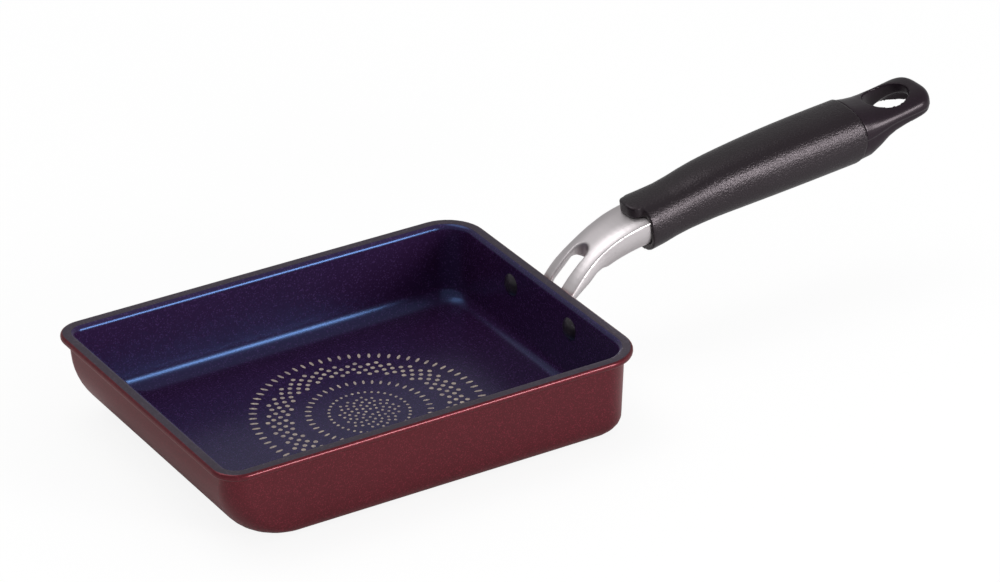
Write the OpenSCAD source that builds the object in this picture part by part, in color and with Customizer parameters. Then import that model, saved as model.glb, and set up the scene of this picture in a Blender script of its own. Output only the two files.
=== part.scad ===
// Rectangular rolled-omelette pan with a riveted cast neck and a moulded handle.
// Millimetres, +Z up, +X from the pan towards the handle, origin at the middle of the underside.

/* [Pan] */
// Length of the rim, outside
pan_l = 190; // [170:1:210]
// Width of the rim, outside
pan_w = 142; // [122:1:162]
// Height from the underside to the top of the rim
pan_h = 37; // [34:0.5:46]
// Thickness of the wall
wall_t = 2.6; // [1.8:0.1:3.2]
// Thickness of the floor
floor_t = 3; // [2.2:0.1:4]
// Slope of the two long walls from upright, in degrees
side_draft = 2.6; // [1:0.1:4]
// Slope of the wall that carries the handle, in degrees
near_draft = 1.8; // [0.5:0.1:3]
// Slope of the wall that the omelette slides over, in degrees
far_draft = 1; // [0.5:0.1:3]
// Outer radius from the base into the long walls
side_fillet = 6.5; // [5:0.5:9]
// Inner radius from the floor into the long walls
side_inner_r = 7.5; // [5:0.5:9]
// Outer radius from the base into the handle wall
near_fillet = 7; // [5:0.5:12]
// Outer radius from the base into the far wall
far_fillet = 28; // [20:0.5:30]
// Plan radius of the rim's two far corners
far_corner_r = 11; // [10:0.5:16]
// Plan radius of the rim's two corners at the handle
near_corner_r = 17; // [12:0.5:22]
// Plan radius of the base's corners
base_corner_r = 12; // [9:0.5:16]

/* [Rim] */
// How far the rim stands out past the wall
lip_w = 3.4; // [2.6:0.1:4.4]
// Thickness of the rim's edge
lip_t = 3; // [2.2:0.1:3.6]
// Radius on the rim's outer edge
lip_edge_r = 1.3; // [0.6:0.1:1.5]
// Radius where the inner wall bends out into the rim
lip_bend_r = 2.4; // [1.2:0.1:3]

/* [Induction plate] */
// Length of the steel plate in the base
plate_l = 118; // [90:1:124]
// Width of the steel plate
plate_w = 84; // [60:1:90]
// Thickness of the steel plate
plate_t = 0.8; // [0.5:0.1:1.2]
// Corner radius of the steel plate
plate_r = 12; // [4:1:20]
// Gap round the edge of the steel plate
plate_gap = 0.1; // [0.05:0.05:0.3]

/* [Rivets] */
// Distance between the two rivets
rivet_pitch = 44; // [36:0.5:48]
// Height of the rivets above the underside
rivet_z = 26.5; // [25:0.5:28]
// Diameter of a rivet's shank
rivet_d = 5; // [4:0.1:6]
// Diameter of the domed head inside the pan
rivet_head_d = 9.5; // [8:0.1:11]
// Height of the domed head
rivet_head_h = 2; // [1.2:0.1:2.6]
// Diameter of the formed head outside
rivet_tail_d = 8.6; // [7.5:0.1:10]
// Height of the formed head
rivet_tail_h = 1.8; // [1.2:0.1:2.6]
// Radial gap between a rivet's shank and its holes
rivet_gap = 0.05; // [0.03:0.01:0.1]

/* [Neck] */
// Distance from the rim's edge to the mouth of the grip
neck_reach = 40.3; // [37:0.5:44]
// Height of the grip's axis at its mouth above the rim
neck_rise = 15; // [14:0.5:18]
// Steepest slope of the neck above its foot, in degrees
neck_slope = 52; // [48:1:56]
// Radius of the neck's lower bend, out from the wall
neck_bend_r = 8; // [6:0.5:10]
// Gap from the wall to the neck's top face where it leaves the foot
neck_wall_gap = 1.2; // [0.8:0.1:1.6]
// Width of the neck beside the rim
neck_w_pan = 21.6; // [19:0.1:24]
// Width of the neck at its waist
neck_w_waist = 19.3; // [17.5:0.1:20.5]
// Width of the neck at the grip
neck_w_grip = 20.9; // [18:0.1:21]
// Depth of the neck's section at its foot
neck_d_foot = 3.6; // [3:0.1:5]
// Depth of the neck's section at the end of its lower bend
neck_d_bend = 6.2; // [5.5:0.1:7.4]
// Depth of the neck's section where its long curve starts
neck_d_pan = 7.4; // [6.8:0.1:9]
// Depth of the neck's section at the grip
neck_d_grip = 14; // [12:0.1:15]
// Height of the neck's top face above the grip's axis
neck_top = 6.2; // [5.6:0.1:6.5]
// Fall of the neck's top face from its middle to its two edges
neck_crown = 1.7; // [0.8:0.1:2.2]
// Squareness of that crown
neck_crown_square = 3.6; // [2:0.1:5]
// Squareness of the neck's rounded underside
neck_square = 3.3; // [2.4:0.1:4]
// Width of the slot through the neck
neck_slot_w = 8.2; // [6:0.1:9]
// Distance from the rim's edge back to the slot's lower end
neck_slot_back = 2.6; // [1:0.1:3]
// Distance from the rim's edge to the slot's upper end
neck_slot_reach = 16; // [13:0.1:17.5]
// Width of the hollow in the neck's underside, at its roof
hollow_w = 9.2; // [8.6:0.1:11]
// How far each side of the hollow opens for each millimetre of depth
hollow_flare = 0.95; // [0.6:0.05:1]
// Length of the hollow's roof
hollow_l = 14.8; // [12:0.1:17]
// How far the hollow's upper end leans out for each millimetre of depth
hollow_lead = 0.5; // [0:0.05:0.8]
// Distance from the top of the lower bend to the hollow
hollow_s = 1.5; // [1.2:0.1:3]
// Corner radius of the hollow
hollow_r = 3; // [1.5:0.1:4]
// Thinnest metal between the hollow and the neck's top face
hollow_web = 1.5; // [1.5:0.1:2.4]
// Slope of the hollow's roof, in degrees
hollow_slope = 46; // [44:1:50]

/* [Foot of the neck] */
// Length of the foot plate across the wall
foot_l = 58; // [56:1:62]
// Height of the foot plate
foot_h = 12.6; // [12:0.1:13]
// Thickness of the foot plate
foot_t = 4.4; // [3.4:0.1:5.4]

/* [Tang] */
// Length of the tang past its shoulder
tang_l = 42; // [34:1:48]
// Width of the tang
tang_w = 15; // [12:0.5:16]
// Height of the tang
tang_h = 9; // [8.5:0.1:10]
// Gap round the tang in the grip
tang_gap = 0.2; // [0.1:0.05:0.4]
// Gap round the neck in the mouth of the grip
mouth_gap = 0.2; // [0.1:0.05:0.4]
// Depth of the mouth that holds the neck's shoulder
mouth_d = 4; // [3:0.5:6]

/* [Grip] */
// Rise of the handle's axis above level, in degrees
handle_tilt = 8.25; // [6:0.05:10]
// Length of the grip from its mouth to the seam
grip_l = 105.2; // [98:0.1:116]
// Width of the grip at its mouth
grip_w_front = 23.8; // [23.6:0.1:27]
// Width of the grip at its waist
grip_w_waist = 22.5; // [22.4:0.1:26]
// Width of the grip at the seam
grip_w_rear = 27.3; // [25:0.1:30]
// Height of the grip as a share of its width
grip_flat = 0.955; // [0.92:0.005:1]
// Distance from the mouth to the waist
grip_waist_u = 17; // [8:1:20]
// Distance from the mouth to where the grip is full
grip_full_u = 92; // [80:1:96]
// How fast the grip widens behind its waist
grip_swell = 2.15; // [1:0.05:2.5]
// Rise of the grip's middle above the line between its ends
grip_arch = 2.25; // [0:0.05:2.5]
// Distance from the mouth to the highest place of that rise
grip_arch_u = 36; // [25:1:60]
// How late the rise falls off again towards the seam
grip_arch_fall = 1.6; // [1:0.1:2.5]
// Radius of the curved seam between the grip and the cap, seen from the side
seam_r = 27.5; // [24:0.5:60]
// Height of the seam's most rearward place above the grip's axis
seam_z = 3.4; // [0:0.1:5]
// Squareness of the grip's section
grip_square = 2.5; // [2:0.05:3]
// Length of the tongue over the neck
tongue_l = 5.3; // [4:0.1:8]
// Width of the tongue over the neck
tongue_w = 12.8; // [10:0.1:15]
// Radius on the tongue's two corners
tongue_r = 4.4; // [3:0.1:5]
// Radius at the tongue's two roots
tongue_root_r = 2.2; // [1:0.1:3]

/* [End cap] */
// Length of the end cap from the seam to its tip
cap_l = 36.8; // [36:0.1:42]
// Step down from the grip to the cap
cap_step = 0.5; // [0.1:0.05:0.8]
// Width the cap's sides would reach at its tip
cap_w_end = 25; // [23:0.1:26.5]
// How the sides close in: 1 in a straight line, less for sooner
cap_w_bow = 0.7; // [0.5:0.05:1]
// Length over which the cap's end rounds off, seen from above
cap_end_l = 8.5; // [6:0.5:11]
// Squareness of that rounding
cap_end_square = 2.4; // [2:0.1:3]
// Distance from the seam to the middle of the step in the cap's underside
cap_step_u = 9.6; // [8:0.1:12]
// Length of the step in the cap's underside
cap_step_l = 14.5; // [10:0.1:16]
// Height of the thin part's underside above the grip's axis
cap_low = -4.5; // [-5.5:0.1:-2]
// Rise of that underside from the step to the tip
cap_low_rise = 3.4; // [1:0.1:4]
// Fall of the cap's top just behind the seam
cap_dip = 3.3; // [2:0.1:4]
// Length of that fall
cap_dip_l = 16; // [12:0.5:20]
// Further fall of the cap's top, even from the seam to the tip
cap_top_fall = 0.6; // [0.2:0.1:1.5]
// Height of the ledge along the cap's sides above the grip's axis
cap_ledge_z = 2.4; // [1:0.1:3]
// Depth of the ledge along the cap's sides
cap_ledge = 0.5; // [0.2:0.1:0.8]
// Squareness of the section above the ledge
cap_square = 2.6; // [2.2:0.1:3.2]
// Squareness of the section below the ledge
cap_low_square = 3; // [2.5:0.1:4]
// Squareness of the section at the tip
cap_tip_square = 3.4; // [2.6:0.1:5]
// Radius that rounds the cap's tip off from its top
cap_nose = 4; // [2:0.1:4.2]
// Radius that rounds the cap's tip off from its underside
cap_low_nose = 5; // [3:0.1:5.5]
// Length of the hanging slot
hang_l = 20.8; // [16:0.1:23]
// Width of the hanging slot
hang_w = 17.8; // [12:0.1:18.5]
// Distance from the seam to the hanging slot's middle
hang_u = 19.1; // [18.5:0.1:20.5]
// How far the slot flares out to the underside
hang_bevel = 2.6; // [1:0.1:3]
// How far it flares out at the slot's ends
hang_bevel_l = 4.6; // [2:0.1:5]
// Depth over which it flares out
hang_bevel_d = 2.2; // [1:0.1:3]
// Height of the flare's upper edge above the grip's axis
hang_bevel_z = 0; // [-1.5:0.1:0.5]
// Rise of that edge from the slot's middle to its outer end
hang_bevel_rise = 4.8; // [2:0.1:5]
// Diameter of the cap's plug in the grip
plug_d = 18.6; // [16:0.1:19]
// Length of the cap's plug in the grip
plug_l = 11; // [8:0.5:14]
// Radial gap round the plug
plug_gap = 0.15; // [0.05:0.05:0.3]
// Gap past the end of the plug
plug_end_gap = 0.5; // [0.3:0.1:1]

/* [Bolt and washers] */
// Diameter of the bolt
bolt_d = 5; // [4:0.1:5.4]
// Length of the bolt under its head
bolt_l = 60; // [52:1:66]
// Radial gap between the bolt and the tapped hole in the tang
thread_gap = 0.05; // [0.03:0.01:0.1]
// Radial gap between the bolt and its passage
bolt_gap = 0.35; // [0.2:0.05:0.6]
// Diameter of the bolt's head
bolt_head_d = 8.8; // [8:0.1:9.6]
// Height of the bolt's head
bolt_head_h = 3.2; // [2.5:0.1:3.6]
// Width of the cross recess in the bolt's head
drive_w = 1.1; // [0.8:0.1:1.4]
// Length of the cross recess in the bolt's head
drive_l = 5; // [4:0.1:6]
// Depth of the cross recess in the bolt's head
drive_d = 1.8; // [1:0.1:2]
// Outer diameter of the flat washer
washer_d = 10; // [9.6:0.1:11]
// Thickness of the flat washer
washer_t = 1; // [0.8:0.1:1.4]
// Outer diameter of the spring washer
spring_d = 8.6; // [8:0.1:9.4]
// Thickness of the spring washer
spring_t = 1.3; // [1:0.1:1.6]
// Width of the cut in the spring washer
spring_cut = 1; // [0.6:0.1:1.4]
// Radial gap between the washers and the bolt
washer_gap = 0.15; // [0.1:0.05:0.3]
// Radial gap round the flat washer in the grip
washer_room = 0.4; // [0.2:0.1:0.6]

/* [Hidden] */

fine = 64;
corner_steps = 10;
fillet_steps = 14;
edge_steps = 5;
curve_steps = 16;
crown_steps = 12;
section_steps = 24;
grip_steps = 18;
seam_steps = 24;
cap_steps = 26;
cut = 1;
reach = 60;

// Pan levels and walls
lip_z = pan_h - lip_t;
flat_min = -pan_l / 2 + lip_w + far_fillet;
flat_max = pan_l / 2 - lip_w - near_fillet;
plate_x = (flat_min + flat_max) / 2;
inner_corner_min = 3;

// Handle axis at the mouth of the grip
mouth_x = pan_l / 2 + neck_reach;
mouth_z = pan_h + neck_rise;

// Neck curve: a short bend out of the foot, a straight, and a long bend into the grip
bend_rise = 1.5;
bend_z = rivet_z + bend_rise;
bend_x = wall_x(bend_z) + neck_wall_gap;
end_x = mouth_x - neck_top * sin(handle_tilt);
end_z = mouth_z + neck_top * cos(handle_tilt);
run_x = end_x - bend_x - neck_bend_r * (1 - sin(neck_slope));
run_z = end_z - bend_z - neck_bend_r * cos(neck_slope);
arc_x = sin(neck_slope) - sin(handle_tilt);
arc_z = cos(handle_tilt) - cos(neck_slope);
neck_det = cos(neck_slope) * arc_z - arc_x * sin(neck_slope);
neck_run = (run_x * arc_z - arc_x * run_z) / neck_det;
neck_arc_r = (cos(neck_slope) * run_z - sin(neck_slope) * run_x) / neck_det;
straight_x = bend_x + neck_bend_r * (1 - sin(neck_slope));
straight_z = bend_z + neck_bend_r * cos(neck_slope);
leg_drop = foot_h / 2;
neck_waist_t = 0.45;
slot_floor_z = rivet_z + foot_h / 2 + cut;

// Places along the handle's axis, from the mouth of the grip
bore_u = mouth_d + tang_l;
tang_room = 1;
head_room = 2;
tap_room = 2;
socket_u = grip_l - plug_l - plug_end_gap;
head_seat_u = socket_u - head_room - bolt_head_h - spring_t - washer_t;
bolt_seat_u = head_seat_u + washer_t + spring_t;
bolt_tip_u = bolt_seat_u - bolt_l;
tap_d = bolt_d + 2 * thread_gap;
tap_l = bore_u - bolt_tip_u + tap_room;

// How far the skins of the grip and the cap run past the seam before they are cut
seam_lap = 6;
// Height over which the seam is drawn out, more than the handle's own
seam_span = 40;
// Share of the cap's length at which its last ring stands
tip_share = 0.995;
// How far the wall's skins run into the lip
lip_tuck = 1;

// Outer face of the handle wall at a height
function wall_x(z) = pan_l / 2 - lip_w - tan(near_draft) * (lip_z - z);

// Inset of a round fillet at a height above its tangent plane
function fillet_in(r, z) = z >= r ? 0 : r - sqrt(max(0, r * r - (r - z) * (r - z)));

function mix(a, b, t) = a + (b - a) * t;
function ease(t) = let (c = min(1, max(0, t))) c * c * (3 - 2 * c);
function signed_pow(v, p) = sign(v) * pow(abs(v), p);

// One corner of a rounded rectangle, as an arc from one angle over a quarter turn
function corner(x, y, r, from, z) =
    [for (i = [0 : corner_steps]) let (a = from + 90 * i / corner_steps)
        [x + r * cos(a), y + r * sin(a), z]];

// A rounded rectangle at a height, from its two ends, half width and two corner radii
function outline(x_far, x_near, half_w, r_far, r_near, z) = concat(
    corner(x_near - r_near, -half_w + r_near, r_near, -90, z),
    corner(x_near - r_near, half_w - r_near, r_near, 0, z),
    corner(x_far + r_far, half_w - r_far, r_far, 90, z),
    corner(x_far + r_far, -half_w + r_far, r_far, 180, z));

// The wall's outline at a height, drawn in from the rim by an inset; base is the fillets' tangent plane
function wall_ring(inset, base, shrink, side_r, z) =
    let (
        rise = max(0, z - base),
        drop = max(0, lip_z - z),
        t = min(1, max(0, z / lip_z)),
        x_far = -pan_l / 2 + inset + tan(far_draft) * drop + fillet_in(far_fillet - shrink, rise),
        x_near = pan_l / 2 - inset - tan(near_draft) * drop - fillet_in(near_fillet - shrink, rise),
        half_w = pan_w / 2 - inset - tan(side_draft) * drop - fillet_in(side_r, rise),
        r_far = max(inner_corner_min, mix(base_corner_r - shrink, far_corner_r - inset, t)),
        r_near = max(inner_corner_min, mix(base_corner_r - shrink, near_corner_r - inset, t))
    )
    outline(x_far, x_near, half_w, r_far, r_near, z);

// The rim's outline at a height, drawn in by an inset
function rim_ring(inset, z) =
    outline(-pan_l / 2 + inset, pan_l / 2 - inset, pan_w / 2 - inset,
            far_corner_r - inset, near_corner_r - inset, z);

// Middle of a list of points
function middle(points) = [for (axis = [0 : 2]) let (v = [for (p = points) p[axis]]) sum(v) / len(v)];
function sum(v, i = 0) = i < len(v) ? v[i] + sum(v, i + 1) : 0;

// A closed skin over rings with equal point counts, each end closed with a fan of triangles
module skin(rings) {
    n = len(rings[0]);
    m = len(rings);
    polyhedron(
        points = concat([for (r = rings) each r], [middle(rings[0]), middle(rings[m - 1])]),
        faces = [
            for (i = [0 : n - 1])
                let (j = (i + 1) % n)
                each concat(
                    [[n * m, i, j]],
                    [for (k = [0 : m - 2])
                        let (a = k * n + i, b = k * n + j)
                        each [[a, a + n, b], [b, a + n, b + n]]],
                    [[n * m + 1, (m - 1) * n + j, (m - 1) * n + i]])
        ]);
}

// Frame on the outer face of the handle wall at the rivets' height, X out of the wall
module at_wall() {
    translate([wall_x(rivet_z), 0, rivet_z])
        rotate([0, near_draft, 0])
            children();
}

// Frame on the handle's axis at the mouth of the grip, X along the handle
module at_handle() {
    translate([mouth_x, 0, mouth_z])
        rotate([0, -handle_tilt, 0])
            children();
}

// A round bar along X from one place to another
module bar(d, from, to) {
    translate([from, 0, 0])
        rotate([0, 90, 0])
            cylinder(d = d, h = to - from, $fn = fine);
}

module rounded_plate(l, w, r, t) {
    linear_extrude(t)
        union() {
            square([l - 2 * r, w], center = true);
            square([l, w - 2 * r], center = true);
            for (sx = [-1, 1], sy = [-1, 1])
                translate([sx * (l / 2 - r), sy * (w / 2 - r)])
                    circle(r = r, $fn = fine);
        }
}

module pan_shell() {
    wall_in = lip_w + wall_t;
    outer_levels = concat(
        [for (k = [0 : fillet_steps]) far_fillet * (1 - cos(90 * k / fillet_steps))],
        [lip_z - lip_tuck]);
    inner_r = far_fillet - wall_t;
    bend_z0 = pan_h - lip_bend_r;
    inner_levels = concat(
        [bend_z0],
        [for (k = [fillet_steps : -1 : 0])
            floor_t + min(inner_r * (1 - cos(90 * k / fillet_steps)), bend_z0 - floor_t - cut)]);
    skin(concat(
        [for (z = outer_levels) wall_ring(lip_w, 0, 0, side_fillet, z)],
        [rim_ring(lip_w - lip_tuck, lip_z)],
        [for (k = [0 : edge_steps]) let (a = 90 * k / edge_steps)
            rim_ring(lip_edge_r * (1 - sin(a)), lip_z + lip_edge_r * (1 - cos(a)))],
        [for (k = [0 : edge_steps]) let (a = 90 * k / edge_steps)
            rim_ring(lip_edge_r * (1 - cos(a)), pan_h - lip_edge_r * (1 - sin(a)))],
        [for (k = [0 : edge_steps - 1]) let (a = 90 * k / edge_steps)
            rim_ring(wall_in - lip_bend_r * (1 - sin(a)), pan_h - lip_bend_r * (1 - cos(a)))],
        [for (z = inner_levels) wall_ring(wall_in, floor_t, wall_t, side_inner_r, z)]));
}

module pan_body() {
    color("#6b2630")
        difference() {
            pan_shell();
            translate([plate_x, 0, -cut])
                rounded_plate(plate_l + 2 * plate_gap, plate_w + 2 * plate_gap, plate_r, plate_t + cut);
            at_wall()
                for (s = [-1, 1])
                    translate([0, s * rivet_pitch / 2, 0])
                        bar(rivet_d + 2 * rivet_gap, -wall_t - cut, cut);
        }
}

module induction_plate() {
    color("#b9bcc0")
        translate([plate_x, 0, 0])
            rounded_plate(plate_l, plate_w, plate_r, plate_t);
}

// A domed head with its flat face at x = 0, its dome towards -X
module rivet_dome(d, h) {
    dome_r = (d * d / 4 + h * h) / (2 * h);
    rotate([0, -90, 0])
        intersection() {
            translate([0, 0, h - dome_r])
                sphere(r = dome_r, $fn = fine);
            cylinder(d = d, h = h + cut, $fn = fine);
        }
}

module rivets() {
    inner_face = -wall_t * cos(near_draft);
    color("#2a2026")
        at_wall()
            for (s = [-1, 1])
                translate([0, s * rivet_pitch / 2, 0])
                    union() {
                        bar(rivet_d, inner_face, foot_t);
                        translate([inner_face, 0, 0])
                            rivet_dome(rivet_head_d, rivet_head_h);
                        translate([foot_t, 0, 0])
                            mirror([1, 0, 0])
                                rivet_dome(rivet_tail_d, rivet_tail_h);
                    }
}

// Half width of the neck along its long curve
function neck_half_w(t) = t < neck_waist_t
    ? mix(neck_w_pan, neck_w_waist, ease(t / neck_waist_t)) / 2
    : mix(neck_w_waist, neck_w_grip, ease((t - neck_waist_t) / (1 - neck_waist_t))) / 2;

// Places along the neck: x, z, slope, half width and depth of the section
function neck_places(lead) = concat(
    [[bend_x, bend_z - leg_drop, 90, neck_half_w(0), neck_d_foot]],
    [for (k = [0 : edge_steps]) let (t = k / edge_steps, a = mix(90, neck_slope, t))
        [bend_x + neck_bend_r * (1 - sin(a)), bend_z + neck_bend_r * cos(a), a, neck_half_w(0),
         mix(neck_d_foot, neck_d_bend, ease(t))]],
    [for (k = [0 : curve_steps])
        let (
            t = k / curve_steps,
            a = mix(neck_slope, handle_tilt, t),
            x0 = straight_x + neck_run * cos(neck_slope),
            z0 = straight_z + neck_run * sin(neck_slope)
        )
        [x0 + neck_arc_r * (sin(neck_slope) - sin(a)), z0 + neck_arc_r * (cos(a) - cos(neck_slope)), a,
         neck_half_w(t), mix(neck_d_pan, neck_d_grip, 1 - (1 - t) * (1 - t))]],
    [[end_x + lead * cos(handle_tilt), end_z + lead * sin(handle_tilt), handle_tilt, neck_half_w(1),
      neck_d_grip]]);

// Section of the neck, grown by a gap: crowned top face, an edge at each side, rounded underside
function neck_ring(p, gap) =
    let (
        x = p[0],
        z = p[1],
        a = p[2],
        w = p[3] + gap,
        d = p[4] + gap,
        under = [for (i = [0 : section_steps]) let (b = 180 * i / section_steps)
            [-w * signed_pow(cos(b), 2 / neck_square),
             neck_crown + (d - neck_crown) * signed_pow(sin(b), 2 / neck_square)]],
        top = [for (i = [1 : crown_steps - 1]) let (y = 1 - 2 * i / crown_steps)
            [w * y, -gap + (neck_crown + gap) * pow(abs(y), neck_crown_square)]]
    )
    [for (q = concat(under, top)) [x + q[1] * sin(a), q[0], z - q[1] * cos(a)]];

module neck_sweep(gap, lead) {
    skin([for (p = neck_places(lead)) neck_ring(p, gap)]);
}

// The slot, cut straight down as far as the top of the foot plate
module neck_slot_cut() {
    half = neck_slot_w / 2;
    from = pan_l / 2 - neck_slot_back + half;
    to = pan_l / 2 + neck_slot_reach - half;
    translate([0, 0, slot_floor_z])
        linear_extrude(reach)
            union() {
                translate([from, -half])
                    square([to - from, neck_slot_w]);
                for (x = [from, to])
                    translate([x, 0])
                        circle(r = half, $fn = fine);
            }
}

// The hollow in the underside, wider than the slot and opening downwards
module neck_hollow_cut() {
    deep = neck_d_grip;
    translate([straight_x, 0, straight_z])
        rotate([0, -hollow_slope, 0])
            skin([for (q = [deep, 0])
                outline(hollow_s, hollow_s + hollow_l + hollow_lead * q, hollow_w / 2 + hollow_flare * q,
                        hollow_r, hollow_r, -hollow_web - q)]);
}

module foot_plate() {
    half = foot_h / 2;
    at_wall()
        rotate([90, 0, 90])
            linear_extrude(foot_t)
                union() {
                    square([foot_l - foot_h, foot_h], center = true);
                    for (s = [-1, 1])
                        translate([s * (foot_l / 2 - half), 0])
                            circle(r = half, $fn = fine);
                }
}

module neck() {
    color("#c9c6c8")
        difference() {
            union() {
                foot_plate();
                neck_sweep(0, mouth_d);
                at_handle()
                    translate([mouth_d - cut, -tang_w / 2, -tang_h / 2])
                        cube([tang_l + cut, tang_w, tang_h]);
            }
            neck_slot_cut();
            neck_hollow_cut();
            at_wall()
                for (s = [-1, 1])
                    translate([0, s * rivet_pitch / 2, 0])
                        bar(rivet_d + 2 * rivet_gap, -cut, foot_t + cut);
            at_handle()
                bar(tap_d, bore_u - tap_l, bore_u + cut);
        }
}

// Width of the grip at a place along its axis
function grip_w(u) =
    u < grip_waist_u
        ? mix(grip_w_front, grip_w_waist, ease(u / grip_waist_u))
        : let (t = min(1, (u - grip_waist_u) / (grip_full_u - grip_waist_u)))
            mix(grip_w_waist, grip_w_rear, 1 - pow(1 - t, grip_swell));

// Lift of the grip's middle line at a place along its axis
function grip_lift(u) =
    u < grip_arch_u
        ? grip_arch * ease(u / grip_arch_u)
        : grip_arch * (1 - pow(min(1, (u - grip_arch_u) / (grip_l - grip_arch_u)), grip_arch_fall));

// A rounded section across the handle: place, half width, top, middle and bottom height, how much narrower
// it is below its middle, and the squareness above and below
function handle_ring(u, half_w, top, mid, bottom, ledge, square_top, square_low) = concat(
    [for (i = [0 : section_steps]) let (a = 180 * i / section_steps)
        [u, half_w * signed_pow(cos(a), 2 / square_top),
         mid + (top - mid) * signed_pow(sin(a), 2 / square_top)]],
    [for (i = [0 : section_steps]) let (a = 180 * i / section_steps)
        if (ledge > 0 || (i > 0 && i < section_steps))
            [u, -(half_w - ledge) * signed_pow(cos(a), 2 / square_low),
             mid - (mid - bottom) * signed_pow(sin(a), 2 / square_low)]]);

module grip_loft() {
    start = -tongue_l - cut;
    skin([for (k = [0 : grip_steps])
        let (
            u = mix(start, grip_l + seam_lap, k / grip_steps),
            w = grip_w(u),
            h = w * grip_flat / 2,
            lift = grip_lift(max(0, u))
        )
        handle_ring(u, w / 2, lift + h, lift, lift - h, 0, grip_square, grip_square)]);
}

// Everything on the grip's side of the seam, as a side view drawn out across the handle
module before_seam() {
    half = seam_span / 2;
    rotate([90, 0, 0])
        linear_extrude(reach, center = true)
            polygon(concat(
                [[-reach, -half]],
                [for (i = [0 : seam_steps]) let (w = mix(-half, half, i / seam_steps))
                    [grip_l - seam_r + sqrt(seam_r * seam_r - (w - seam_z) * (w - seam_z)), w]],
                [[-reach, half]]));
}

// What stays of the grip's front: the sleeve behind the mouth, and the tongue on top
module grip_front() {
    linear_extrude(reach)
        offset(r = -tongue_root_r, $fn = fine)
            offset(delta = tongue_root_r)
                union() {
                    translate([0, -reach / 2])
                        square([2 * grip_l, reach]);
                    translate([-tongue_l + tongue_r, -tongue_w / 2])
                        square([tongue_l, tongue_w]);
                    translate([-tongue_l, -tongue_w / 2 + tongue_r])
                        square([tongue_l, tongue_w - 2 * tongue_r]);
                    for (s = [-1, 1])
                        translate([-tongue_l + tongue_r, s * (tongue_w / 2 - tongue_r)])
                            circle(r = tongue_r, $fn = fine);
                }
}

module grip() {
    room_w = tang_w + 2 * tang_gap;
    room_h = tang_h + 2 * tang_gap;
    color("#2b2529")
        difference() {
            at_handle()
                difference() {
                    intersection() {
                        grip_loft();
                        before_seam();
                        union() {
                            grip_front();
                            translate([0, -reach / 2, -reach])
                                cube([2 * grip_l, reach, reach + cut]);
                        }
                    }
                    translate([mouth_d - cut, -room_w / 2, -room_h / 2])
                        cube([tang_l + tang_room + cut, room_w, room_h]);
                    bar(bolt_d + 2 * bolt_gap, bore_u, grip_l);
                    bar(washer_d + 2 * washer_room, head_seat_u, grip_l);
                    bar(plug_d + 2 * plug_gap, socket_u, grip_l + cut);
                }
            neck_sweep(mouth_gap, mouth_d);
        }
}

// Half width, top and bottom of the cap at a distance from the seam
function cap_half_w(v) =
    let (
        side = mix(grip_w_rear - 2 * cap_step, cap_w_end, pow(max(0, v) / cap_l, cap_w_bow)) / 2,
        past = max(0, v - (cap_l - cap_end_l)) / cap_end_l
    )
    side * pow(1 - pow(past, cap_end_square), 1 / cap_end_square);

function cap_top(v) =
    let (dip = 1 - min(1, max(0, v) / cap_dip_l), full = grip_w_rear * grip_flat / 2 - cap_step)
    full - cap_dip * (1 - dip * dip) - cap_top_fall * max(0, v) / cap_l;

function cap_bottom(v) =
    let (full = -grip_w_rear * grip_flat / 2 + cap_step, start = cap_step_u - cap_step_l / 2)
    mix(full, cap_low, ease((v - start) / cap_step_l))
        + cap_low_rise * max(0, (v - start - cap_step_l) / (cap_l - start - cap_step_l));

// How far a nose radius draws the surface in towards the tip
function nose_drop(v, r) = let (past = max(0, v - (cap_l - r))) r - sqrt(r * r - past * past);

// Places along the cap, closer together towards its round tip
function cap_place(k) = let (t = k / cap_steps) mix(-seam_lap, cap_l * tip_share, sin(90 * t * (2 - t)));

module cap_loft() {
    full_v = cap_step_u + cap_step_l / 2;
    skin([for (k = [0 : cap_steps])
        let (
            v = cap_place(k),
            settle = ease(v / full_v),
            end = ease((v - full_v) / (cap_l - full_v))
        )
        handle_ring(grip_l + v, cap_half_w(v), cap_top(v) - nose_drop(v, cap_nose), cap_ledge_z * settle,
                    cap_bottom(v) + nose_drop(v, cap_low_nose), cap_ledge,
                    mix(mix(grip_square, cap_square, settle), cap_tip_square, end),
                    mix(grip_square, cap_low_square, settle))]);
}

// An oval across the cap, grown at its ends and sides, at a height that rises towards its outer end
function hang_ring(ends, sides, h, rise) = [
    for (i = [0 : 2 * section_steps - 1])
        let (a = 180 * i / section_steps)
        [grip_l + hang_u + (hang_l / 2 + ends) * cos(a), (hang_w / 2 + sides) * sin(a), h + rise * cos(a)]];

module hang_slot_cut() {
    skin([hang_ring(hang_bevel_l, hang_bevel, -reach / 2, 0),
          hang_ring(hang_bevel_l, hang_bevel, hang_bevel_z - hang_bevel_d, hang_bevel_rise),
          hang_ring(0, 0, hang_bevel_z, hang_bevel_rise),
          hang_ring(0, 0, reach / 2, 0)]);
}

module end_cap() {
    color("#1b181a")
        at_handle()
            union() {
                difference() {
                    cap_loft();
                    before_seam();
                    hang_slot_cut();
                }
                bar(plug_d, grip_l - plug_l, grip_l + cut);
            }
}

module handle_bolt() {
    color("#a9adb1")
        at_handle()
            difference() {
                union() {
                    bar(bolt_d, bolt_tip_u, bolt_seat_u + cut);
                    bar(bolt_head_d, bolt_seat_u, bolt_seat_u + bolt_head_h);
                }
                for (turn = [0, 90])
                    rotate([turn, 0, 0])
                        translate([bolt_seat_u + bolt_head_h - drive_d, -drive_l / 2, -drive_w / 2])
                            cube([drive_d + cut, drive_l, drive_w]);
            }
}

module flat_washer() {
    color("#b4b7ba")
        at_handle()
            difference() {
                bar(washer_d, head_seat_u, head_seat_u + washer_t);
                bar(bolt_d + 2 * washer_gap, head_seat_u - cut, head_seat_u + washer_t + cut);
            }
}

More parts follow.
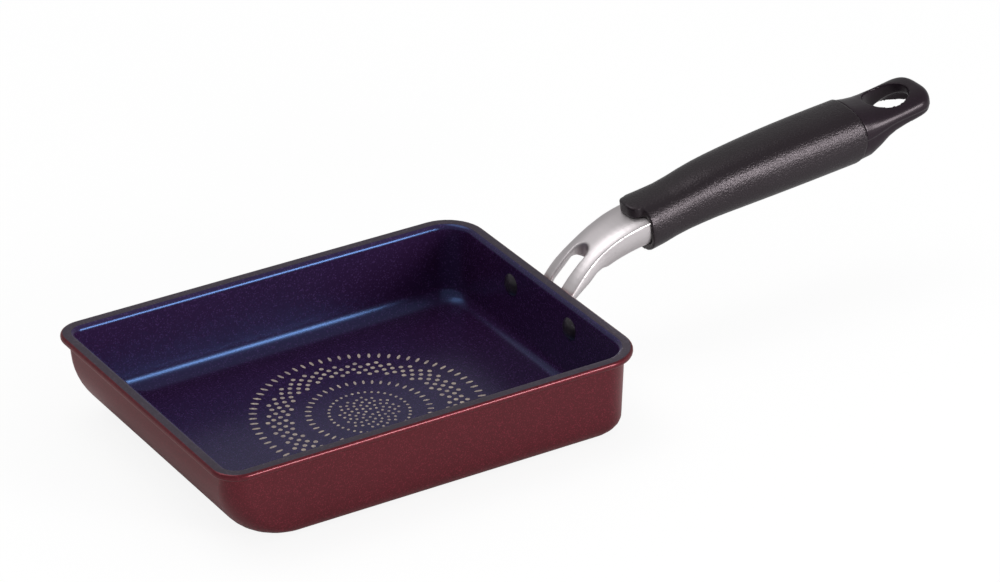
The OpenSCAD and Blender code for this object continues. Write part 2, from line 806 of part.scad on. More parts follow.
module spring_washer() {
    from = head_seat_u + washer_t;
    color("#8f9396")
        at_handle()
            difference() {
                bar(spring_d, from, from + spring_t);
                bar(bolt_d + 2 * washer_gap, from - cut, from + spring_t + cut);
                translate([from - cut, -spring_cut / 2, 0])
                    cube([spring_t + 2 * cut, spring_cut, spring_d]);
            }
}

pan_body();
induction_plate();
rivets();
neck();
grip();
end_cap();
handle_bolt();
flat_washer();
spring_washer();
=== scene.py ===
"""A rolled omelette pan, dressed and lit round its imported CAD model.

The CAD nodes hold every size. This script gives the pan, neck, grip and end cap their soft cast
and moulded edges, prints the pattern on the cooking floor, dresses each piece in its finish, and
sets up the studio and the camera.
"""

import logging
import math
from collections.abc import Callable
from dataclasses import dataclass, field
from enum import Enum

import bmesh
import bpy
from mathutils import Matrix, Vector


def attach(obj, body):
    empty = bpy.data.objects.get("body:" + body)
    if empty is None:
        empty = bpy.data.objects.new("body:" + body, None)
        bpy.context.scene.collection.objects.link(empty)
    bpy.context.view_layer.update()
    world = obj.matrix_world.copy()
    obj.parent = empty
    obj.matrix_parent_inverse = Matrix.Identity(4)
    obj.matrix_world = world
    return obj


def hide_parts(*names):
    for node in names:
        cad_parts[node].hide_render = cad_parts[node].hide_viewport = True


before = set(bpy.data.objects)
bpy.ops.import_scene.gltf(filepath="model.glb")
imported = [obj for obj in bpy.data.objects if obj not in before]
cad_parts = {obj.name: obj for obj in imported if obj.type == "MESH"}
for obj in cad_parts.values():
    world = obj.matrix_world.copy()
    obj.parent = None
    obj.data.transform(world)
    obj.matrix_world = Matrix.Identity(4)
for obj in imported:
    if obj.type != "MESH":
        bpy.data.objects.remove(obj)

LOG = logging.getLogger("omelette_pan")
MM = 0.001
BODY = "root"
# Height of the cooking floor above the hob
FLOOR_MM = 3.0
# Corners of a CAD mesh nearer to each other than this are one corner
WELD_MM = 0.002
# Bands that a wave texture draws in one unit of its scale
WAVE_BANDS = 20

Colour = tuple[float, float, float, float]
Corner = tuple[float, float, float]


def linear(code: str) -> Colour:
    """Turns an sRGB hex colour into the linear values that shaders take.

    Args:
        code: The colour as "#rrggbb".

    Returns:
        Red, green, blue and alpha, linear, from 0 to 1.
    """
    shares = [int(code[i:i + 2], 16) / 255 for i in (1, 3, 5)]
    red, green, blue = (
        s / 12.92 if s <= 0.04045 else ((s + 0.055) / 1.055) ** 2.4 for s in shares
    )
    return (red, green, blue, 1.0)


def add_node(
    tree: bpy.types.NodeTree,
    kind: str,
    settings: dict[str | int, object] | None = None,
    links: dict[str | int, bpy.types.NodeSocket] | None = None,
) -> bpy.types.Node:
    """Adds one node to a material, sets it and links it.

    Args:
        tree: The node tree of the material.
        kind: The node's type name.
        settings: Values by socket name, socket number or property name.
        links: The output sockets to join, by the name or number of this node's input.

    Returns:
        The new node.
    """
    node = tree.nodes.new(kind)
    for key, value in (settings or {}).items():
        if isinstance(key, int) or key in node.inputs:
            node.inputs[key].default_value = value
        else:
            setattr(node, key, value)
    for key, source in (links or {}).items():
        tree.links.new(source, node.inputs[key])
    return node


def per_metre(size_mm: float) -> float:
    """The pattern scale at which one cell of a texture is that many millimetres wide."""
    return 1.0 / (size_mm * MM)


# Finishes


@dataclass(frozen=True)
class Finish:
    """What every finish of the pan shares: one colour, its gloss, and its name."""

    name: str
    colour: str
    roughness: float
    metallic: float = 0.0
    specular: float = 0.5
    specular_tint: str = "#ffffff"
    coat: float = 0.0
    coat_roughness: float = 0.1

    def material(self) -> bpy.types.Material:
        """Builds the material.

        Returns:
            The material, with this finish's pattern in it.
        """
        made = bpy.data.materials.new(self.name)
        made.use_nodes = True
        tree = made.node_tree
        shader = tree.nodes["Principled BSDF"]
        for socket, value in (
            ("Base Color", linear(self.colour)),
            ("Roughness", self.roughness),
            ("Metallic", self.metallic),
            ("Specular IOR Level", self.specular),
            ("Specular Tint", linear(self.specular_tint)),
            ("Coat Weight", self.coat),
            ("Coat Roughness", self.coat_roughness),
        ):
            shader.inputs[socket].default_value = value
        place = add_node(tree, "ShaderNodeTexCoord").outputs["Object"]
        self.pattern(tree, shader, place)
        return made

    def pattern(
        self, tree: bpy.types.NodeTree, shader: bpy.types.Node, place: bpy.types.NodeSocket
    ) -> None:
        """Adds the surface's own detail. Each finish has its own.

        Args:
            tree: The material's node tree.
            shader: Its surface shader.
            place: The object coordinates, in metres.
        """


def spread(
    tree: bpy.types.NodeTree, value: bpy.types.NodeSocket, low: Colour, high: Colour
) -> bpy.types.NodeSocket:
    """Stretches a pattern between two colours.

    Args:
        tree: The material's node tree.
        value: The pattern, from 0 to 1.
        low: The colour where the pattern is 0.
        high: The colour where the pattern is 1.

    Returns:
        The mixed colour.
    """
    mix = add_node(
        tree,
        "ShaderNodeMix",
        {"data_type": "RGBA", 6: low, 7: high},
        {0: value},
    )
    return mix.outputs[2]


@dataclass(frozen=True)
class FlakePaint(Finish):
    """Paint or coating with metal flakes: the flakes glint, and the tone drifts a little."""

    flake: str = "#ffffff"
    flake_mm: float = 0.6
    flake_share: float = 0.12
    drift: str = "#000000"
    drift_mm: float = 60.0
    drift_share: float = 0.4
    grain_mm: float = 0.5
    grain_depth_mm: float = 0.01

    def pattern(
        self, tree: bpy.types.NodeTree, shader: bpy.types.Node, place: bpy.types.NodeSocket
    ) -> None:
        """Lays a slow drift of tone, then single flakes, then a faint orange-peel grain.

        Args:
            tree: The material's node tree.
            shader: Its surface shader.
            place: The object coordinates, in metres.
        """
        clouds = add_node(
            tree,
            "ShaderNodeTexNoise",
            {"Scale": per_metre(self.drift_mm), "Detail": 3.0},
            {"Vector": place},
        )
        amount = add_node(
            tree,
            "ShaderNodeMapRange",
            {"From Min": 0.35, "From Max": 0.7, "To Min": 0.0, "To Max": self.drift_share},
            {"Value": clouds.outputs["Fac"]},
        )
        ground = spread(
            tree, amount.outputs["Result"], linear(self.colour), linear(self.drift)
        )
        cells = add_node(
            tree,
            "ShaderNodeTexVoronoi",
            {"Scale": per_metre(self.flake_mm), "Randomness": 1.0},
            {"Vector": place},
        )
        tone = add_node(tree, "ShaderNodeSeparateColor", links={0: cells.outputs["Color"]})
        glint = add_node(
            tree,
            "ShaderNodeMapRange",
            {
                "From Min": 1.0 - self.flake_share,
                "From Max": 1.0,
                "To Min": 0.0,
                "To Max": 1.0,
            },
            {"Value": tone.outputs[0]},
        )
        mix = add_node(
            tree,
            "ShaderNodeMix",
            {"data_type": "RGBA", 7: linear(self.flake)},
            {0: glint.outputs["Result"], 6: ground},
        )
        tree.links.new(mix.outputs[2], shader.inputs["Base Color"])
        peel = add_node(
            tree,
            "ShaderNodeTexNoise",
            {"Scale": per_metre(self.grain_mm), "Detail": 2.0},
            {"Vector": place},
        )
        bump = add_node(
            tree,
            "ShaderNodeBump",
            {"Strength": 0.6, "Distance": self.grain_depth_mm * MM},
            {"Height": peel.outputs["Fac"]},
        )
        tree.links.new(bump.outputs["Normal"], shader.inputs["Normal"])


@dataclass(frozen=True)
class LinedMetal(Finish):
    """Metal with fine lines from polishing or turning, drawn as coarse as they need to show."""

    line_mm: float = 0.5
    line_length_mm: float = 14.0
    line_depth_mm: float = 0.006
    rings: bool = False
    dull: float = 0.08
    shade: str = "#808080"
    shade_mm: float = 14.0
    shade_share: float = 0.3

    def pattern(
        self, tree: bpy.types.NodeTree, shader: bpy.types.Node, place: bpy.types.NodeSocket
    ) -> None:
        """Lays the lines in the bump and the gloss, over clouds of a slightly darker tone.

        Args:
            tree: The material's node tree.
            shader: Its surface shader.
            place: The object coordinates, in metres.
        """
        if self.rings:
            lines = add_node(
                tree,
                "ShaderNodeTexWave",
                {
                    "wave_type": "RINGS",
                    "rings_direction": "Z",
                    "Scale": per_metre(self.line_mm) / WAVE_BANDS,
                    "Distortion": 0.4,
                    "Detail": 3.0,
                },
                {"Vector": place},
            )
        else:
            stretch = add_node(
                tree,
                "ShaderNodeMapping",
                {
                    "Scale": (
                        per_metre(self.line_length_mm),
                        per_metre(self.line_mm),
                        per_metre(self.line_mm),
                    )
                },
                {"Vector": place},
            )
            lines = add_node(
                tree,
                "ShaderNodeTexNoise",
                {"Scale": 1.0, "Detail": 3.0},
                {"Vector": stretch.outputs["Vector"]},
            )
        gloss = add_node(
            tree,
            "ShaderNodeMapRange",
            {
                "From Min": 0.3,
                "From Max": 0.7,
                "To Min": self.roughness - self.dull / 2,
                "To Max": self.roughness + self.dull / 2,
            },
            {"Value": lines.outputs["Fac"]},
        )
        tree.links.new(gloss.outputs["Result"], shader.inputs["Roughness"])
        clouds = add_node(
            tree,
            "ShaderNodeTexNoise",
            {"Scale": per_metre(self.shade_mm), "Detail": 2.0},
            {"Vector": place},
        )
        amount = add_node(
            tree,
            "ShaderNodeMapRange",
            {"From Min": 0.4, "From Max": 0.75, "To Min": 0.0, "To Max": self.shade_share},
            {"Value": clouds.outputs["Fac"]},
        )
        tone = spread(
            tree, amount.outputs["Result"], linear(self.colour), linear(self.shade)
        )
        tree.links.new(tone, shader.inputs["Base Color"])
        bump = add_node(
            tree,
            "ShaderNodeBump",
            {"Strength": 0.5, "Distance": self.line_depth_mm * MM},
            {"Height": lines.outputs["Fac"]},
        )
        tree.links.new(bump.outputs["Normal"], shader.inputs["Normal"])


@dataclass(frozen=True)
class GrainedResin(Finish):
    """Moulded resin that took the fine pitted grain of its eroded mould."""

    grain_mm: float = 0.6
    grain_depth_mm: float = 0.05
    painted_pit_shade: str = "#000000"
    pit_shade_share: float = 0.5
    rub: float = 0.06
    rub_mm: float = 18.0

    def pattern(
        self, tree: bpy.types.NodeTree, shader: bpy.types.Node, place: bpy.types.NodeSocket
    ) -> None:
        """Pits the surface, paints shade into the pits, and varies the gloss where hands rub it.

        Args:
            tree: The material's node tree.
            shader: Its surface shader.
            place: The object coordinates, in metres.
        """
        grain = add_node(
            tree,
            "ShaderNodeTexNoise",
            {"Scale": per_metre(self.grain_mm), "Detail": 2.0, "Roughness": 0.6},
            {"Vector": place},
        )
        # Painted shade: where the grain is low, in the pits, the colour is mixed toward a darker
        # one.
        depth = add_node(
            tree,
            "ShaderNodeMapRange",
            {"From Min": 0.35, "From Max": 0.65, "To Min": self.pit_shade_share, "To Max": 0.0},
            {"Value": grain.outputs["Fac"]},
        )
        tone = spread(tree, depth.outputs["Result"], linear(self.colour), linear(self.painted_pit_shade))
        tree.links.new(tone, shader.inputs["Base Color"])
        rubs = add_node(
            tree,
            "ShaderNodeTexNoise",
            {"Scale": per_metre(self.rub_mm), "Detail": 3.0},
            {"Vector": place},
        )
        gloss = add_node(
            tree,
            "ShaderNodeMapRange",
            {
                "From Min": 0.3,
                "From Max": 0.7,
                "To Min": self.roughness - self.rub / 2,
                "To Max": self.roughness + self.rub / 2,
            },
            {"Value": rubs.outputs["Fac"]},
        )
        tree.links.new(gloss.outputs["Result"], shader.inputs["Roughness"])
        bump = add_node(
            tree,
            "ShaderNodeBump",
            {"Strength": 1.0, "Distance": self.grain_depth_mm * MM},
            {"Height": grain.outputs["Fac"]},
        )
        tree.links.new(bump.outputs["Normal"], shader.inputs["Normal"])


# Metallic polyester paint, sprayed and baked: a deep maroon with red flakes that glow where the
# light falls square on them. Real flakes are 0.05 mm and are drawn at 0.35 mm, so that they show.
OUTSIDE_PAINT = FlakePaint(
    "sprayed_metallic_polyester_paint",
    "#45181e",
    roughness=0.36,
    metallic=0.35,
    specular=0.9,
    specular_tint="#ff5a70",
    coat=0.3,
    coat_roughness=0.14,
    flake="#66242f",
    flake_mm=0.35,
    flake_share=0.25,
    drift="#3c171c",
    drift_mm=70.0,
    drift_share=0.5,
    grain_depth_mm=0.006,
)
# Reinforced fluororesin coating with pearl pigment: nearly black violet, and blue where it
# shines. Pearl grains are 0.1 mm and are drawn at 0.45 mm, so that they show.
INSIDE_COATING = FlakePaint(
    "pearl_fluororesin_coating",
    "#2a1232",
    roughness=0.27,
    specular=0.8,
    specular_tint="#80b2ff",
    flake="#3f2750",
    flake_mm=0.45,
    flake_share=0.2,
    drift="#210f2a",
    drift_mm=45.0,
    drift_share=0.5,
    grain_depth_mm=0.012,
)
# The same coating where it runs over the flat of the rim: duller, and painted greyer and lighter
# than inside: painted light for the open sky that the rim's top sees and the walled floor
# doesn't.
PAINTED_LIGHT_RIM_COATING = FlakePaint(
    "rim_fluororesin_coating_painted_lighter",
    "#312930",
    roughness=0.4,
    metallic=0.2,
    specular=0.7,
    specular_tint="#e6ddff",
    flake="#443a43",
    flake_mm=0.6,
    flake_share=0.25,
    drift="#261f25",
    drift_mm=30.0,
    drift_share=0.5,
    grain_depth_mm=0.01,
)
# Black fluororesin over the rivet heads: smooth enough for one small crescent of light.
RIVET_COATING = FlakePaint(
    "black_fluororesin_coating",
    "#1e1820",
    roughness=0.3,
    specular=0.5,
    flake="#3d3542",
    flake_mm=0.5,
    flake_share=0.15,
    drift="#171219",
    drift_mm=6.0,
    grain_depth_mm=0.004,
)
# Screen-printed champagne ink under the coating's last coat: flat, pale and a little worn.
PRINT_INK = FlakePaint(
    "screen_printed_champagne_ink",
    "#a99b8f",
    roughness=0.5,
    specular=0.3,
    flake="#c9bcae",
    flake_mm=0.5,
    flake_share=0.4,
    drift="#7e7279",
    drift_mm=12.0,
    drift_share=0.7,
    grain_depth_mm=0.006,
)
# Die-cast aluminium, polished: soft grey with long faint lines along the casting. The lines of
# a polishing belt are 0.05 mm apart and are drawn at 0.5 mm, so that they show.
CAST_ALUMINIUM = LinedMetal(
    "polished_cast_aluminium",
    "#dcd6d8",
    roughness=0.4,
    metallic=1.0,
    line_depth_mm=0.003,
    dull=0.05,
    shade="#c5bec0",
)
# Stainless steel sheet for induction hobs, with the rings that a turning tool leaves.
TURNED_STEEL = LinedMetal(
    "turned_stainless_steel",
    "#a9abad",
    roughness=0.32,
    metallic=1.0,
    line_mm=0.8,
    rings=True,
    shade="#8d8f93",
    shade_mm=30.0,
)
# Zinc-plated steel of the bolt and the washers: bluish and fairly bright.
PLATED_STEEL = LinedMetal(
    "zinc_plated_steel",
    "#a4a8ae",
    roughness=0.3,
    metallic=1.0,
    line_mm=0.4,
    line_length_mm=3.0,
    shade="#868a92",
    shade_mm=4.0,
)
# Phenolic resin, moulded with a spark-eroded grain: dark, and matt with a grey sheen. The grain
# is 0.2 mm in life and is drawn at 0.7 mm, so that it shows.
GRIP_RESIN = GrainedResin(
    "grained_phenolic_resin",
    "#120b11",
    roughness=0.33,
    specular=0.52,
    grain_mm=0.7,
    grain_depth_mm=0.2,
    # Painted shade in the pits of the grain.
    painted_pit_shade="#0b070a",
    specular_tint="#fff0f8",
)
# The same resin from a smoother mould on the end cap: blacker, with a clearer shine.
CAP_RESIN = GrainedResin(
    "smooth_phenolic_resin",
    "#1d141c",
    roughness=0.29,
    specular=0.28,
    grain_mm=0.9,
    grain_depth_mm=0.008,
    # Painted shade in the pits of the grain.
    painted_pit_shade="#140e13",
    rub=0.05,
    specular_tint="#fff0f7",
)


# Modelling helpers


def deselect_all() -> None:
    """Leaves nothing selected."""
    if bpy.context.object and bpy.context.object.mode != "OBJECT":
        bpy.ops.object.mode_set(mode="OBJECT")
    bpy.ops.object.select_all(action="DESELECT")


def take(piece: bpy.types.Object) -> None:
    """Makes one piece the only selected and the active one.

    Args:
        piece: The piece.
    """
    deselect_all()
    piece.select_set(True)
    bpy.context.view_layer.objects.active = piece


def cast_of(node: str, name: str) -> bpy.types.Object:
    """Copies a CAD node's mesh into a new piece and merges its loose triangles.

    Args:
        node: The CAD node to copy.
        name: The new piece's name.

    Returns:
        The new piece, which is the active object.
    """
    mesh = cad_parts[node].data.copy()
    mesh.name = name
    mesh.materials.clear()
    piece = bpy.data.objects.new(name, mesh)
    bpy.context.scene.collection.objects.link(piece)
    take(piece)
    if mesh.has_custom_normals:
        bpy.ops.mesh.customdata_custom_splitnormals_clear()
    bpy.ops.object.mode_set(mode="EDIT")
    bpy.ops.mesh.select_all(action="SELECT")
    bpy.ops.mesh.remove_doubles(threshold=WELD_MM * MM)
    bpy.ops.mesh.normals_make_consistent(inside=False)
    bpy.ops.object.mode_set(mode="OBJECT")
    return piece


def apply_modifier(
    piece: bpy.types.Object, kind: str, settings: dict[str, object]
) -> None:
    """Adds one modifier to a piece and applies it.

    Args:
        piece: The piece.
        kind: The modifier's type name.
        settings: The modifier's values, by property name.
    """
    take(piece)
    modifier = piece.modifiers.new(kind.lower(), kind)
    for key, value in settings.items():
        setattr(modifier, key, value)
    bpy.ops.object.modifier_apply(modifier=modifier.name)


def select_faces(
    piece: bpy.types.Object, wanted: Callable[[bpy.types.MeshPolygon], bool]
) -> None:
    """Selects the faces of a piece by their place or direction.

    Args:
        piece: The piece, in object mode.
        wanted: Says whether a face is wanted.
    """
    mesh = piece.data
    mesh.vertices.foreach_set("select", [False] * len(mesh.vertices))
    mesh.edges.foreach_set("select", [False] * len(mesh.edges))
    for face in mesh.polygons:
        face.select = wanted(face)


def dress(piece: bpy.types.Object, material: bpy.types.Material) -> None:
    """Gives a piece one material all over."""
    piece.data.materials.clear()
    piece.data.materials.append(material)


def hand_over(piece: bpy.types.Object, slot: str, *nodes: str) -> None:
    """Lets a finished piece ride on the pan in place of its CAD nodes.

    Args:
        piece: The finished piece.
        slot: Not used; the record's material slot of the piece.
        nodes: The CAD nodes that it stands for.
    """
    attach(piece, BODY)
    if nodes:
        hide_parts(*nodes)
    mesh = piece.data
    mesh.calc_loop_triangles()
    LOG.info("%s: %d triangles", piece.name, len(mesh.loop_triangles))


# Sub-assemblies


@dataclass
class PanShell:
    """The pressed pan: painted outside, coated inside and over its flat rim."""

    rim_flat_mm: float = 0.4
    flat_up: float = 0.9
    least_up: float = -0.02
    crease_degrees: float = 40.0
    rim_height: float = field(init=False, default=0.0)

    def is_inside(self, face: bpy.types.MeshPolygon) -> bool:
        """Says whether a face is coated: the floor, the inner walls and the rim's top.

        Args:
            face: A face of the shell.

        Returns:
            True for a coated face.
        """
        centre, normal = face.center, face.normal
        if centre.z < FLOOR_MM * MM / 2:
            return False
        inward = normal.x * centre.x + normal.y * centre.y < 0
        return normal.z > self.flat_up or (inward and normal.z > self.least_up)

    def is_rim(self, face: bpy.types.MeshPolygon) -> bool:
        """Says whether a face is on the flat top of the rim.

        Args:
            face: A face of the shell.

        Returns:
            True for a face of the rim's top.
        """
        lowest = self.rim_height - self.rim_flat_mm * MM
        return face.center.z > lowest and face.normal.z > self.flat_up

    def build(self) -> bpy.types.Object:
        """Models the shell and dresses each side.

        Returns:
            The shell.
        """
        shell = cast_of("pan_body", "pan_shell")
        self.rim_height = max(corner.co.z for corner in shell.data.vertices)
        for finish in (OUTSIDE_PAINT, INSIDE_COATING, PAINTED_LIGHT_RIM_COATING):
            shell.data.materials.append(finish.material())
        # Slot 1 is the inside; slot 2, the rim's top, is the coating painted lighter, as painted
        # light.
        for number, wanted in ((1, self.is_inside), (2, self.is_rim)):
            take(shell)
            select_faces(shell, wanted)
            shell.active_material_index = number
            bpy.ops.object.mode_set(mode="EDIT")
            bpy.ops.object.material_slot_assign()
            bpy.ops.object.mode_set(mode="OBJECT")
        bpy.ops.object.shade_smooth_by_angle(angle=math.radians(self.crease_degrees))
        apply_modifier(
            shell,
            "WEIGHTED_NORMAL",
            {"mode": "FACE_AREA", "weight": 100, "keep_sharp": True},
        )
        hand_over(shell, "pan_body", "pan_body")
        return shell


@dataclass
class FloorPrint:
    """The round printed pattern on the cooking floor: spirals of dots inside rings of petals."""

    centre_mm: tuple[float, float] = (7.9, -2.0)
    raise_mm: float = 0.05
    sink_mm: float = 0.03
    corners: int = 14
    eased_top: tuple[float, float, float] = (0.92, 0.86, 1.0)
    golden_degrees: float = 137.50776
    band_mm: tuple[float, float] = (31.0, 41.0)
    band_pitch_mm: float = 1.95
    dot_mm: float = 2.0
    heart_mm: tuple[float, float] = (1.0, 12.6)
    heart_pitch_mm: float = 1.5
    heart_dot_mm: float = 1.3
    # Each ring's radius, its number of petals, and their length and width.
    rings: tuple[tuple[float, int, float, float], ...] = (
        (46.4, 72, 3.6, 1.3),
        (24.4, 44, 3.0, 1.1),
        (16.2, 38, 1.4, 1.2),
    )

    def petal(self, length_mm: float, width_mm: float) -> bpy.types.Mesh:
        """Models one flat petal or dot of ink, with an eased edge.

        Args:
            length_mm: Its size out from the pattern's centre.
            width_mm: Its size across that.

        Returns:
            Its mesh, centred at the origin.
        """
        deselect_all()
        bpy.ops.mesh.primitive_circle_add(
            vertices=self.corners, radius=0.5 * MM, fill_type="NGON", location=(0, 0, 0)
        )
        piece = bpy.context.object
        bpy.ops.object.mode_set(mode="EDIT")
        bpy.ops.mesh.select_all(action="SELECT")
        bpy.ops.transform.resize(value=(length_mm, width_mm, 1.0))
        bpy.ops.mesh.extrude_region_move(
            TRANSFORM_OT_translate={"value": (0, 0, (self.raise_mm + self.sink_mm) * MM)}
        )
        bpy.ops.transform.resize(value=self.eased_top)
        bpy.ops.mesh.select_all(action="SELECT")
        bpy.ops.mesh.normals_make_consistent(inside=False)
        bpy.ops.object.mode_set(mode="OBJECT")
        mesh = piece.data.copy()
        bpy.data.objects.remove(piece)
        return mesh

    def spiral(self, low_mm: float, high_mm: float, pitch_mm: float) -> list[tuple[float, float]]:
        """Works out the places of a spiral of dots, as seeds sit in a flower head.

        Args:
            low_mm: The least distance from the centre.
            high_mm: The greatest distance from the centre.
            pitch_mm: The spiral's spacing.

        Returns:
            The distance and the angle of each dot, in millimetres and radians.
        """
        first = math.ceil((low_mm / pitch_mm) ** 2)
        last = math.floor((high_mm / pitch_mm) ** 2)
        turn = math.radians(self.golden_degrees)
        return [(pitch_mm * math.sqrt(i), i * turn) for i in range(first, last + 1)]

    def build(self) -> bpy.types.Object:
        """Copies the petals and dots to their places and joins them.

        Returns:
            The printed pattern, one piece.
        """
        dot = self.petal(self.dot_mm, self.dot_mm)
        seed = self.petal(self.heart_dot_mm, self.heart_dot_mm)
        places = [
            (dot, far, angle) for far, angle in self.spiral(*self.band_mm, self.band_pitch_mm)
        ]
        places += [
            (seed, far, angle)
            for far, angle in self.spiral(*self.heart_mm, self.heart_pitch_mm)
        ]
        for radius, count, length, width in self.rings:
            petal = self.petal(length, width)
            places += [(petal, radius, 2 * math.pi * i / count) for i in range(count)]
        sheet = bmesh.new()
        low = FLOOR_MM - self.sink_mm
        for mesh, far, angle in places:
            copy = mesh.copy()
            x, y = self.centre_mm
            copy.transform(
                Matrix.Translation((x * MM, y * MM, low * MM))
                @ Matrix.Rotation(angle, 4, "Z")
                @ Matrix.Translation((far * MM, 0, 0))
            )
            sheet.from_mesh(copy)
            bpy.data.meshes.remove(copy)
        made = bpy.data.meshes.new("floor_print")
        sheet.to_mesh(made)
        sheet.free()
        piece = bpy.data.objects.new("floor_print", made)
        bpy.context.scene.collection.objects.link(piece)
        dress(piece, PRINT_INK.material())
        hand_over(piece, "pan_body")
        return piece


@dataclass
class SoftCasting:
    """A cast or moulded piece whose edges are all eased, as they leave a mould or a polisher."""

    node: str
    name: str
    finish: Finish
    voxel_mm: float
    passes: int = 3
    factor: float = 0.5

    def build(self) -> bpy.types.Object:
        """Models the piece over its CAD solid and dresses it.

        Returns:
            The piece.
        """
        piece = cast_of(self.node, self.name)
        apply_modifier(
            piece, "REMESH", {"mode": "VOXEL", "voxel_size": self.voxel_mm * MM}
        )
        apply_modifier(piece, "SMOOTH", {"factor": self.factor, "iterations": self.passes})
        take(piece)
        bpy.ops.object.shade_smooth()
        dress(piece, self.finish.material())
        hand_over(piece, self.node, self.node)
        return piece


@dataclass
class Handle:
    """The neck, the grip and the end cap that show."""

    castings: tuple[SoftCasting, ...] = (
        SoftCasting("neck", "neck_casting", CAST_ALUMINIUM, voxel_mm=0.4, passes=7),
        SoftCasting("grip", "grip_moulding", GRIP_RESIN, voxel_mm=0.5),
        SoftCasting("end_cap", "end_cap_moulding", CAP_RESIN, voxel_mm=0.42),
    )

    def build(self) -> list[bpy.types.Object]:
        """Models the three pieces and returns them."""
        return [casting.build() for casting in self.castings]


@dataclass
class Fittings:
    """The rivets, the plate and the hidden screw parts, which keep their CAD shapes."""

    finishes: dict[str, Finish] = field(
        default_factory=lambda: {
            "rivets": RIVET_COATING,
            "induction_plate": TURNED_STEEL,
            "handle_bolt": PLATED_STEEL,
            "flat_washer": PLATED_STEEL,
            "spring_washer": PLATED_STEEL,
        }
    )

    def build(self) -> None:
        """Gives each fitting its material, in the material slots of its own object."""
        made: dict[str, bpy.types.Material] = {}
        for node, finish in self.finishes.items():
            if finish.name not in made:
                made[finish.name] = finish.material()
            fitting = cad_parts[node]
            if not fitting.material_slots:
                fitting.data.materials.append(None)
            for slot in fitting.material_slots:
                slot.link = "OBJECT"
                slot.material = made[finish.name]
            LOG.info("%s: dressed in %s", node, finish.name)


# Studio


class Backdrop(Enum):
    """What the picture shows behind the pan."""

    WHITE_SWEEP = "#ffffff"


@dataclass(frozen=True)
class Softbox:
    """One square lamp with a diffuser."""

    name: str
    toward: Corner
    distance: float
    width: float
    depth: float
    watts: float


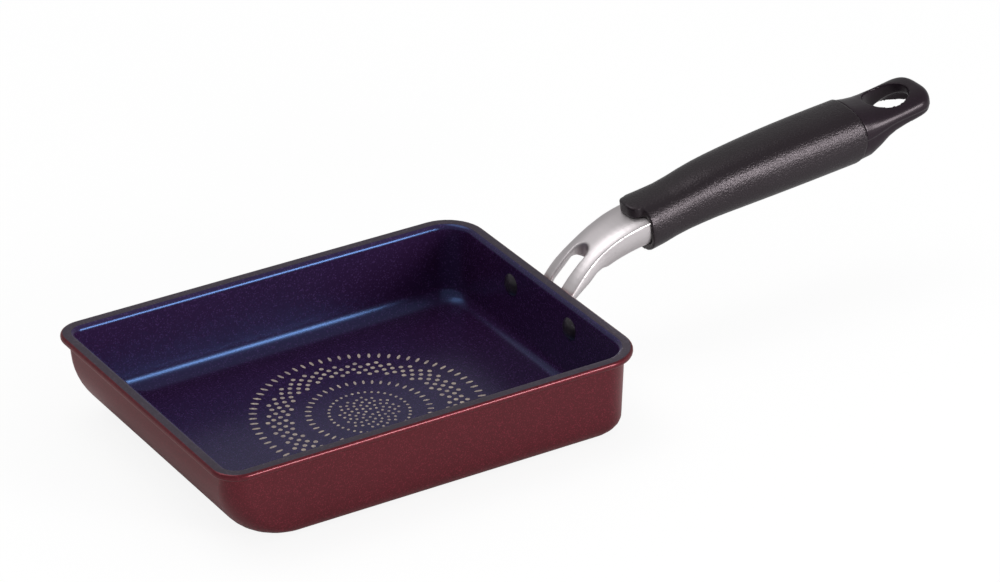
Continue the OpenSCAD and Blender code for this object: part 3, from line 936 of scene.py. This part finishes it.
@dataclass
class Studio:
    """The floor, the lamps, the sky and the camera."""

    backdrop: Backdrop = Backdrop.WHITE_SWEEP
    # The floor lies a hair under the base, so that the two faces aren't one.
    floor_size: float = 12.0
    floor_level: float = -0.0005
    aim: Corner = (0.06, 0.0, 0.03)
    # How bright the sky is, how bright it and the floor are in a shiny surface, and how much of
    # a shadow the camera sees on the floor.
    ambient: float = 0.62
    mirrored: float = 0.42
    mirrored_floor: float = 0.62
    shadow_keep: float = 0.12
    camera_place: Corner = (-0.84479, -1.47792, 0.96806)
    camera_right: Corner = (0.85031, -0.52628, 0.0)
    camera_up: Corner = (0.24807, 0.40081, 0.88193)
    camera_back: Corner = (-0.46415, -0.74992, 0.47137)
    lens_mm: float = 177.63
    sensor_mm: float = 36.0
    lamps: tuple[Softbox, ...] = (
        Softbox("front_softbox", (0.42, -0.88, 0.2), 1.9, 0.7, 0.55, 27.0),
        Softbox("overhead_softbox", (-0.25, 0.25, 0.93), 1.8, 1.2, 1.2, 10.0),
    )

    def floor(self) -> None:
        """Lays a plain white sweep just under the base, which keeps a faint shadow of the pan."""
        deselect_all()
        half = self.floor_size / 2
        bpy.ops.mesh.primitive_plane_add(
            size=self.floor_size, location=(0, 0, self.floor_level)
        )
        floor = bpy.context.object
        floor.name = "studio_floor"
        bpy.ops.object.mode_set(mode="EDIT")
        bpy.ops.mesh.subdivide(number_cuts=2)
        bpy.ops.object.mode_set(mode="OBJECT")
        made = bpy.data.materials.new("white_paper_sweep")
        made.use_nodes = True
        tree = made.node_tree
        paper = tree.nodes["Principled BSDF"]
        paper.inputs["Base Color"].default_value = linear(self.backdrop.value)
        paper.inputs["Roughness"].default_value = 0.9
        paper.inputs["Specular IOR Level"].default_value = 0.0
        glow = add_node(tree, "ShaderNodeEmission", {"Strength": 1.0})
        rays = add_node(tree, "ShaderNodeLightPath")
        tone = add_node(
            tree,
            "ShaderNodeMapRange",
            {"To Min": 1.0, "To Max": self.mirrored_floor},
            {"Value": rays.outputs["Is Glossy Ray"]},
        )
        tree.links.new(tone.outputs["Result"], paper.inputs["Base Color"])
        share = add_node(
            tree,
            "ShaderNodeMath",
            {"operation": "MULTIPLY", 1: 1.0 - self.shadow_keep},
            {0: rays.outputs["Is Camera Ray"]},
        )
        mix = add_node(
            tree,
            "ShaderNodeMixShader",
            links={
                0: share.outputs[0],
                1: paper.outputs["BSDF"],
                2: glow.outputs["Emission"],
            },
        )
        tree.links.new(
            mix.outputs["Shader"], tree.nodes["Material Output"].inputs["Surface"]
        )
        dress(floor, made)
        LOG.info("%s: %.1f m each way", floor.name, half)

    def sky(self) -> None:
        """Fills the studio with even light that cameras and shiny things see as white."""
        world = bpy.context.scene.world or bpy.data.worlds.new("studio")
        bpy.context.scene.world = world
        world.use_nodes = True
        tree = world.node_tree
        tree.nodes.clear()
        rays = add_node(tree, "ShaderNodeLightPath")
        mirrored = add_node(
            tree,
            "ShaderNodeMapRange",
            {"To Min": self.ambient, "To Max": self.mirrored},
            {"Value": rays.outputs["Is Glossy Ray"]},
        )
        level = add_node(
            tree,
            "ShaderNodeMapRange",
            {"To Max": 1.0},
            {
                "Value": rays.outputs["Is Camera Ray"],
                "To Min": mirrored.outputs["Result"],
            },
        )
        light = add_node(
            tree,
            "ShaderNodeBackground",
            {"Color": (1.0, 1.0, 1.0, 1.0)},
            {"Strength": level.outputs["Result"]},
        )
        add_node(
            tree, "ShaderNodeOutputWorld", links={"Surface": light.outputs["Background"]}
        )

    def lamp(self, box: Softbox) -> None:
        """Hangs one softbox and turns it to the pan.

        Args:
            box: The softbox.
        """
        data = bpy.data.lights.new(box.name, "AREA")
        data.shape = "RECTANGLE"
        data.size, data.size_y = box.width, box.depth
        data.energy = box.watts
        lamp = bpy.data.objects.new(box.name, data)
        bpy.context.scene.collection.objects.link(lamp)
        toward = Vector(box.toward).normalized()
        lamp.location = Vector(self.aim) + toward * box.distance
        lamp.rotation_euler = (-toward).to_track_quat("-Z", "Y").to_euler()
        LOG.info("%s: %.0f W", box.name, box.watts)

    def camera(self) -> None:
        """Sets up the camera where the photographer's stood."""
        data = bpy.data.cameras.new("product_camera")
        data.lens, data.sensor_width = self.lens_mm, self.sensor_mm
        data.clip_start, data.clip_end = 0.05, 50.0
        camera = bpy.data.objects.new("product_camera", data)
        bpy.context.scene.collection.objects.link(camera)
        turned = Matrix((self.camera_right, self.camera_up, self.camera_back)).transposed()
        camera.matrix_world = Matrix.Translation(self.camera_place) @ turned.to_4x4()
        bpy.context.scene.camera = camera

    def build(self) -> None:
        """Sets up the whole studio."""
        bpy.context.scene.view_settings.view_transform = "Standard"
        self.floor()
        self.sky()
        for box in self.lamps:
            self.lamp(box)
        self.camera()


def main() -> None:
    """Builds the pan and its studio."""
    logging.basicConfig(level=logging.INFO, format="%(name)s: %(message)s")
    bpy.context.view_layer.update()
    Studio().build()
    PanShell().build()
    FloorPrint().build()
    Handle().build()
    Fittings().build()
    deselect_all()


if __name__ == "__main__":
    main()
